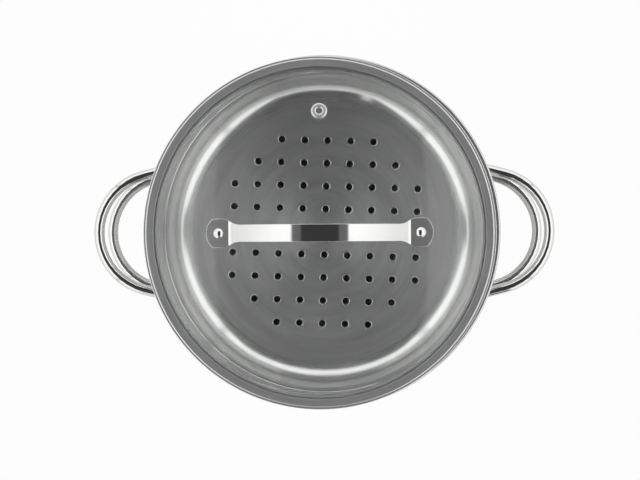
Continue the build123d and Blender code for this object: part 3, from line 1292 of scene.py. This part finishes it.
    def dome(self) -> Array:
        """Dome of two balls about one centre, with its holes.

        The underside is each point of the upper face drawn in towards the centre.

        Returns:
            Its triangles.
        """
        shrink = self.under_radius / self.top_radius
        places = list(self.places().values())
        rings = np.stack([self.drill_ring(*place) for place in places])
        radii = np.array([place[2] for place in places])
        outer = self.top_radius * math.sin(math.radians(self.dome_slope))
        spread = np.linspace(outer / self.dome_rings, outer, self.dome_rings, endpoint=False)
        loose = np.concatenate([circle(radius, self.dome_steps) for radius in spread]
                               + [np.zeros((1, 2))])
        gaps = np.linalg.norm(loose[:, None] - rings.mean(axis=1), axis=-1) - radii
        loose = loose[gaps.min(axis=1) > self.hole_clear]
        ball = self.on_ball(
            drilled(circle(outer, ROUND), rings, radii, self.hole_slack, loose))
        normals = ball / self.top_radius
        parts = [np.stack((ball * scale + self.centre, way * normals), 2)
                 for scale, way in ((1.0, 1), (shrink, -1))]
        for ring, (distance, azimuth, _) in zip(rings, places):
            edge, axis = self.on_ball(ring), self.axes(distance, azimuth)[2]
            inward = -unit(edge - (edge @ axis)[:, None] * axis)
            parts.append(strip(*(np.stack((edge * scale + self.centre, inward), 1)[None]
                                 for scale in (1.0, shrink))))
        return np.concatenate(parts)

    def build_glass(self) -> None:
        """The dome with its knee and its flat, ground edge."""
        edge_round = self.glass_edge_round
        flat_end = self.glass_radius - edge_round
        under = Line2D((flat_end, self.seat), 180)
        under.run(flat_end - self.lip_radius + self.glass_flat_margin)
        under.arc(self.glass_knee, -self.dome_slope)
        rim = Line2D((flat_end, self.seat)).arc(edge_round, 90)
        rim.run(self.glass - 2 * edge_round).arc(edge_round, 90)
        cells = (under.cells(-1), under.cells(1, self.glass), rim.cells())
        shape = np.concatenate((self.dome(), lathe(np.concatenate(cells))))
        self.add("lid_glass_dome", placed(shape, (0, 0, self.glass_lift)), GLASS, "lid_glass")

    def build_band(self) -> None:
        """One strip: lip, upright, folded flange, skirt and hem."""
        top = self.seat + self.glass + self.band_sheet
        wall = self.rim_radius - self.band_step + self.band_sheet
        line = Line2D((self.lip_radius, top))
        line.run(wall - self.band_shoulder - self.lip_radius).arc(self.band_shoulder, -90)
        line.run(line.point[1] - self.steamer_rim - 3 * self.band_fold)
        line.arc(self.band_fold, 90).run(self.rim_radius - 2 * self.band_fold - wall)
        line.arc(self.band_fold, -180)
        skirt = self.mouth_radius - self.skirt_clearance
        line.run(line.point[0] - skirt - self.skirt_bend).arc(self.skirt_bend, 90)
        line.run(self.skirt_depth - self.skirt_bend).arc(self.hem_bend, -90)
        band = lathe(sheet(line, self.band_sheet))
        self.add("lid_band_folded", band, BAND_STEEL, "lid_band")

    def build_strap(self) -> None:
        """The strap handle, shaped by its own class."""
        origin = self.places()["right"][0]
        strap = Strap(sheet=self.strap_sheet, pad=self.pad_thickness, rivet=origin,
                      axes=self.axes(origin, 0.0), centre=self.centre,
                      dome=self.top_radius)
        self.add("lid_strap_bent", strap.shape(), STRAP_STEEL, "lid_strap")

    def build_fasteners(self) -> None:
        """Rivet, pads and washer at each tab, lathed along the rivet."""
        shank, pad, soft = self.shank, self.pad_radius, self.soft_edge
        seat = self.pad_thickness + self.strap_sheet
        low = -self.glass - self.sag(pad)
        washer = low - self.pad_thickness
        tail = washer - self.washer_sheet
        end = tail - self.tail_rise
        rivet = np.concatenate((
            dome_section(self.head_radius, self.head_rise, seat, shank, soft),
            rounded([(0, end, 0), (self.tail_radius, end, self.tail_round),
                     (self.tail_radius, tail, soft), (shank, tail, 0), (shank, seat, 0)],
                    closed=False)))
        plate = ring_section(shank, self.washer_radius, tail, washer, self.washer_edge)
        shapes = {
            "rivet": (rivet, RIVET_STEEL),
            "upper_pad": (ring_section(shank, pad, 0, self.pad_thickness, soft), SILICONE),
            "lower_pad": (ring_section(shank, pad, washer, low, soft), SILICONE),
            "washer": (plate, RIVET_STEEL),
        }
        for side in ("right", "left"):
            place = self.places()[side][:2]
            for kind, (cells, finish) in shapes.items():
                name = f"lid_{kind}_{side}"
                self.add(f"{name}_dressed", self.on_dome(cells, *place), finish, name)

    def build_vent(self) -> None:
        """Eyelet with a rolled collar and a clinched foot, and its soft washer."""
        low = -self.glass - self.sag(self.seal_radius)
        under = low - self.seal_thickness
        bore, tube, foot = self.vent_bore, self.vent_tube, self.foot_radius
        collar, top, curl = self.collar_radius, self.collar_rise, self.collar_round
        end, fine, soft = under - self.foot_sheet, self.fine_edge, self.soft_edge
        eyelet = rounded([
            (bore, end, 2 * fine), (foot, end, soft), (foot, under, fine), (tube, under, 0),
            (tube, 0, 0), (collar, 0, fine), (collar, top, curl), (bore, top, curl)])
        seal = ring_section(tube, self.seal_radius, under, low, soft)
        place = self.places()["vent"][:2]
        self.add("vent_collar", self.on_dome(eyelet, *place), VENT_STEEL, "vent_eyelet")
        self.add("vent_washer", self.on_dome(seal, *place), SILICONE, "vent_seal")


def ring_section(bore: float, outer: float, low: float, high: float, edge: float) -> Array:
    """Section of a flat ring with soft outer edges."""
    return rounded([(bore, low, 0), (outer, low, edge), (outer, high, edge), (bore, high, 0)])


def dome_section(radius: float, rise: float, base: float, shank: float,
                 edge: float) -> Array:
    """Section of a rivet's head: a flat underside, a small edge and a ball's cap.

    Args:
        radius: Radius of the head.
        rise: Height of its crown above its underside.
        base: Height of its underside.
        shank: Radius of the shank below it.
        edge: Height of the short upright at its rim.

    Returns:
        Its cells, from the shank out and over to the axis.
    """
    high = rise - edge
    ball = (radius**2 + high**2) / (2 * high)
    swing = math.degrees(math.asin(radius / ball))
    rim = Line2D((shank, base)).run(radius - edge - shank).arc(edge, 90)
    crown = Line2D((radius, base + edge), 180 - swing).arc(ball, swing)
    return np.concatenate((rim.cells(), crown.cells()))


@dataclass
class Strap:
    """The bent strap: one arch between two folds, with a flared tab at each end."""

    sheet: float
    pad: float
    rivet: float
    axes: Array
    centre: Array
    dome: float
    width: float = 13.0
    tab_width: float = 21.9
    tab_length: float = 18.3
    tab_overhang: float = 9.8
    end_radius: float = 13.9
    tab_corner: float = 1.6
    tab_side: float = 6.3
    flare: float = 14.3
    rise: float = 45.0
    fold_radius: float = 6.0
    edge: float = 0.45
    edge_rows: int = 5
    face_rows: int = 9
    half_steps: int = 2000  # steps by which half the side line is looked up
    tab_share: float = 0.35  # of half the side line, which the plan alone cuts up
    end_length: float = 14.0  # of the plan's end, with this many extra points
    end_marks: int = 50

    def tip(self) -> Array:
        """Underside of the tab's end, as radius and height.

        Returns:
            The point.
        """
        point = (self.centre + self.axes[2] * (self.dome + self.pad)
                 + self.axes[0] * self.tab_overhang)
        return point[[0, 2]]

    def side(self) -> Line2D:
        """Underside of the strap seen from the side, from the right tab to the left.

        Returns:
            The side line, in X and Z.
        """
        lean = math.degrees(math.asin(self.rivet / self.dome))
        line = Line2D(tuple(self.tip()), 180 - lean).run(self.tab_length)
        line.arc(self.fold_radius, -(self.rise - lean))
        arch = line.point[0] / math.sin(math.radians(self.rise))
        line.arc(arch, 2 * self.rise).arc(self.fold_radius, -(self.rise - lean))
        return line.run(self.tab_length)

    def plan(self) -> Array:
        """Half the outline seen from above, as (x, half width), from the tip inwards.

        Returns:
            Points (count, 2).
        """
        tip = float(self.tip()[0])
        half, narrow = self.tab_width / 2, self.width / 2
        bulge = self.end_radius - math.sqrt(self.end_radius**2 - half**2)
        turn = 2 * math.atan((half - narrow) / self.flare)
        swing, flare = math.degrees(turn), self.flare / (2 * math.sin(turn))
        mid = self.end_radius - self.tab_corner
        lean = math.asin((half - self.tab_corner) / mid)
        line = Line2D((tip, 0.0), 90).arc(self.end_radius, math.degrees(lean))
        line.arc(self.tab_corner, 90 - math.degrees(lean))
        line.run(line.point[0] - (tip - bulge - self.tab_side))
        line.arc(flare, swing).arc(flare, -swing).to((0.0, narrow))
        marks = np.linspace(0, self.end_length, self.end_marks)
        stations = np.unique(np.concatenate((line.stations(), marks)))
        outline, _ = line.at(stations)
        return outline

    def edge_line(self, side: Line2D) -> Array:
        """One long edge laid flat, as (length along the side line, half width).

        A plan point goes to the length at which the middle of the sheet has its x.

        Args:
            side: The side line.

        Returns:
            Points from the right tip to the left one (count, 2).
        """
        fine = np.linspace(0, side.length, 2 * self.half_steps + 1)
        points, heading = side.at(fine)
        across = points[:, 0] + self.sheet / 2 * np.sin(heading)
        plan, half = self.plan(), self.half_steps + 1
        s_tab = np.interp(-plan[:, 0], -across[:half], fine[:half])
        marks = side.stations()
        marks = marks[(marks > s_tab.max() * self.tab_share) & (marks < side.length / 2)]
        s = np.unique(np.concatenate((s_tab, marks, [side.length / 2])))
        s = s[np.concatenate(([True], np.diff(s) > WELD))]
        y = np.interp(np.interp(s, fine, across), plan[::-1, 0], plan[::-1, 1])
        y[0] = 0.0
        return np.stack((np.append(s, side.length - s[-2::-1]), np.append(y, y[-2::-1])), -1)

    def shape(self) -> Array:
        """The whole strap.

        The edge is laid flat as (s, y), where s runs along the side line. Rings
        drawn in from it rise round the edge's quarter circle. The faces between
        are ladders from one long edge to the other, and (s, y, h) goes to the side
        line's point at s, moved y across and h along its normal.

        Returns:
            Its triangles.
        """
        side = self.side()
        edge_line = self.edge_line(side)
        step = np.gradient(edge_line, axis=0)
        out = unit(np.stack((-step[:, 1], step[:, 0]), -1))
        out[0], out[-1] = (-1, 0), (1, 0)
        out[:, 1] = np.maximum(out[:, 1], 0)
        bend = np.linspace(0, math.pi / 2, self.edge_rows)
        inset = self.edge * (1 - np.sin(bend))
        height = self.sheet / 2 - self.edge * (1 - np.cos(bend))
        inset, height = np.append(inset, inset[::-1]), np.append(height, -height[::-1])
        tilt = np.append(bend, math.pi - bend[::-1])
        flat = edge_line - inset[:, None, None] * out
        flat[..., 1] = np.maximum(flat[..., 1], 0)
        level, lift = np.sin(tilt)[:, None], np.cos(tilt)[:, None]
        local = np.stack((level * out[:, 0], level * out[:, 1], lift + 0 * out[:, 0]), -1)
        rows = self.bend(side, flat[..., 0], flat[..., 1], height[:, None], local)
        parts = [doubled(strip(rows[:-1], rows[1:], closed=False))]
        share = np.linspace(-1, 1, self.face_rows)[:, None]
        for ring, up in ((0, 1.0), (-1, -1.0)):
            s_face, y_face = flat[ring, :, 0] + 0 * share, flat[ring, :, 1] * share
            face = self.bend(side, s_face, y_face, height[ring], up * UP)
            parts.append(strip(face[:-1], face[1:], closed=False))
        return np.concatenate(parts)

    def bend(self, side: Line2D, s: Array, y: Array, height: Array, local: Array) -> Array:
        """Rows of points and normals, from flat places to the bent strap.

        Args:
            side: The side line.
            s: Lengths along it.
            y: Distances across the strap.
            height: Heights over the middle of the sheet.
            local: Normals of the flat strap.

        Returns:
            Rows (rows, steps, point and normal, 3).
        """
        points, heading = side.at(s)
        along = np.stack((np.cos(heading), 0 * heading, np.sin(heading)), -1)
        up = np.stack((np.sin(heading), 0 * heading, -np.cos(heading)), -1)
        lift = (height + self.sheet / 2)[..., None]
        spot = np.stack((points[..., 0], y, points[..., 1]), -1) + lift * up
        normal = local[..., :1] * along + local[..., 2:] * up
        normal[..., 1] += local[..., 1]
        return np.stack((spot, normal), -2)


@dataclass
class Studio:
    """A white tent with a flag overhead, a pale floor and the photograph's camera."""

    focal: float = 2125.0  # of the camera, in pixels
    sensor: float = 36.0
    width: float = 640.0
    height: float = 480.0
    distance: float = 1.6  # metres above the steamer's rim
    foot: tuple[float, float] = (335.0, 235.75)  # pixel straight below the camera
    target: tuple[float, float] = (324.1, 231.6)  # pixel of the rim's centre
    roll: float = 0.33  # degrees
    rim: float = 0.231
    walls: tuple[float, float] = (1.2, 1.55)  # light at the horizon and overhead
    wall_zenith: tuple[float, float] = (30.0, 90.0)  # degrees off upright, where it changes
    dark: float = 0.055  # light of the flag's middle
    veil: float = 0.19  # light of the thinner cloth at its two sides
    front: float = 0.1  # light of the dark upright at the front
    flag_ends: tuple[float, float, float] = (-1.48, 0.82, 0.03)  # along Y, and softness
    flag_half: tuple[float, float] = (0.51, 0.015)  # half its width and softness
    core_half: tuple[float, float] = (0.325, 0.02)  # the same for its middle
    # Uprights of the tent: azimuth, half width from and to, zenith from and to, in degrees.
    front_place: tuple[float, ...] = (271.5, 19.0, 23.0, 62.0, 65.0)
    streak_place: tuple[float, ...] = (252.0, 0.8, 2.6, 30.0, 40.0)
    seams: tuple[float, ...] = (44.0, 135.0, 225.0, 313.5)
    seam_place: tuple[float, ...] = (0.8, 2.2, 20.0, 26.0)
    seam_shade: float = 0.4
    floor_size: float = 6.0
    floor_colour: float = 0.96
    floor_glow: float = 0.93  # share of the floor's own light, where it is looked at

    def ray(self, pixel: tuple[float, float]) -> Vector:
        """Direction of a pixel from the camera, in its own axes.

        Args:
            pixel: Its place, from the upper left.

        Returns:
            The direction, with depth -1.
        """
        x = (pixel[0] - self.width / 2) / self.focal
        y = (self.height / 2 - pixel[1]) / self.focal
        return Vector((x, y, -1.0))

    def camera(self) -> None:
        """Places the camera so that both pixels look where they should."""
        data = bpy.data.cameras.new("camera")
        data.sensor_width = self.sensor
        data.lens = self.focal * self.sensor / self.width
        data.clip_end = 50.0
        down = self.ray(self.foot).normalized().rotation_difference(Vector((0, 0, -1)))
        turn = Matrix.Rotation(math.radians(-self.roll), 3, "Z") @ down.to_matrix()
        sight = turn @ self.ray(self.target)
        spot = Vector((0, 0, self.rim)) - sight * (self.distance / -sight.z)
        camera = add_object("camera", data)
        camera.matrix_world = Matrix.Translation(spot) @ turn.to_4x4()
        bpy.context.scene.camera = camera

    def world(self) -> None:
        """Light by direction: white walls, a flag overhead, a dark front, seams of the tent.

        The flag is a rectangle on a ceiling at height 1, so a direction meets it at
        (x / z, y / z).
        """
        world = bpy.data.worlds.new("tent")
        bpy.context.scene.world = world
        graph = Graph(world)
        _, x, y, z = graph.position(output=0)
        up = z.most(0.001)
        level = (x * x + y * y + 1e-9) ** 0.5
        zenith = z.arccos()

        def column(azimuth: float, *bounds: float) -> Wire:
            """Share of an upright that fades with azimuth and towards the top.

            Args:
                azimuth: Of its middle.
                *bounds: Half width from and to, then zenith from and to.

            Returns:
                The share by direction.
            """
            angle = math.radians(azimuth)
            away = ((x * math.cos(angle) + y * math.sin(angle)) / level).arccos()
            return away.fall(*bounds[:2]) * zenith.rise(*bounds[2:])

        length = (y / up).within(*self.flag_ends)
        flag, core = ((x / up).within(-half, half, soft) * length
                      for half, soft in (self.flag_half, self.core_half))
        light = zenith.fall(*self.wall_zenith).blend(*self.walls)
        light = column(*self.front_place).blend(light, self.front)
        light = core.blend(flag.blend(light, self.veil), self.dark)
        light = light.most(column(*self.streak_place))
        for seam in self.seams:
            light = light * (1 - self.seam_shade * column(seam, *self.seam_place))
        seen = graph.node("LightPath")
        light = seen.blend(light, 1.0)
        shine = graph.node("Background", {"Color": (1, 1, 1, 1), "Strength": light})
        graph.node("OutputWorld", {"Surface": shine})

    def floor(self) -> None:
        """A pale floor that shows white and keeps a faint shadow."""
        size, pale = self.floor_size, self.floor_colour
        mesh = bpy.data.meshes.new("floor")
        corners = ((-1, -1), (1, -1), (1, 1), (-1, 1))
        mesh.from_pydata([(size * x, size * y, 0) for x, y in corners], [], [(0, 1, 2, 3)])
        made = bpy.data.materials.new("floor_finish")
        graph = Graph(made)
        seen = graph.node("LightPath")
        outputs = seen.socket.node.outputs
        for ray in ("Is Glossy Ray", "Is Transmission Ray"):
            seen = seen.most(Wire(graph, outputs[ray]))
        matt = graph.node("BsdfDiffuse", {"Color": (pale, pale, pale, 1)})
        glow = graph.node("Emission", {"Color": (1, 1, 1, 1), "Strength": 1.0})
        mixed = graph.node("MixShader", {0: seen * self.floor_glow, 1: matt, 2: glow})
        graph.node("OutputMaterial", {"Surface": mixed})
        mesh.materials.append(made)
        floor = add_object("floor", mesh)

    def build(self) -> None:
        """Makes camera, world and floor."""
        bpy.context.scene.view_settings.view_transform = "Standard"
        self.camera()
        self.world()
        self.floor()


def dress_plain_node(frame: dict[str, Any]) -> None:
    """Gives the disc, the one CAD node that stays, its finish.
    """
    for slot in frame["nodes"]["pot_base_disc"].material_slots:
        slot.material = ALUMINIUM.material()
    log.info("pot_base_disc: CAD node with %s", ALUMINIUM.name)


def main() -> None:
    """Builds the pot tier by tier, the lid and the studio, and logs each part."""
    logging.basicConfig(level=logging.INFO, format="%(name)s: %(message)s")
    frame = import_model()
    for part in (StockPot(), SteamerTier(), SideHandles(), Lid(), Studio()):
        part.build()
        log.info("%s built", type(part).__name__)
    dress_plain_node(frame)


if __name__ == "__main__":
    main()
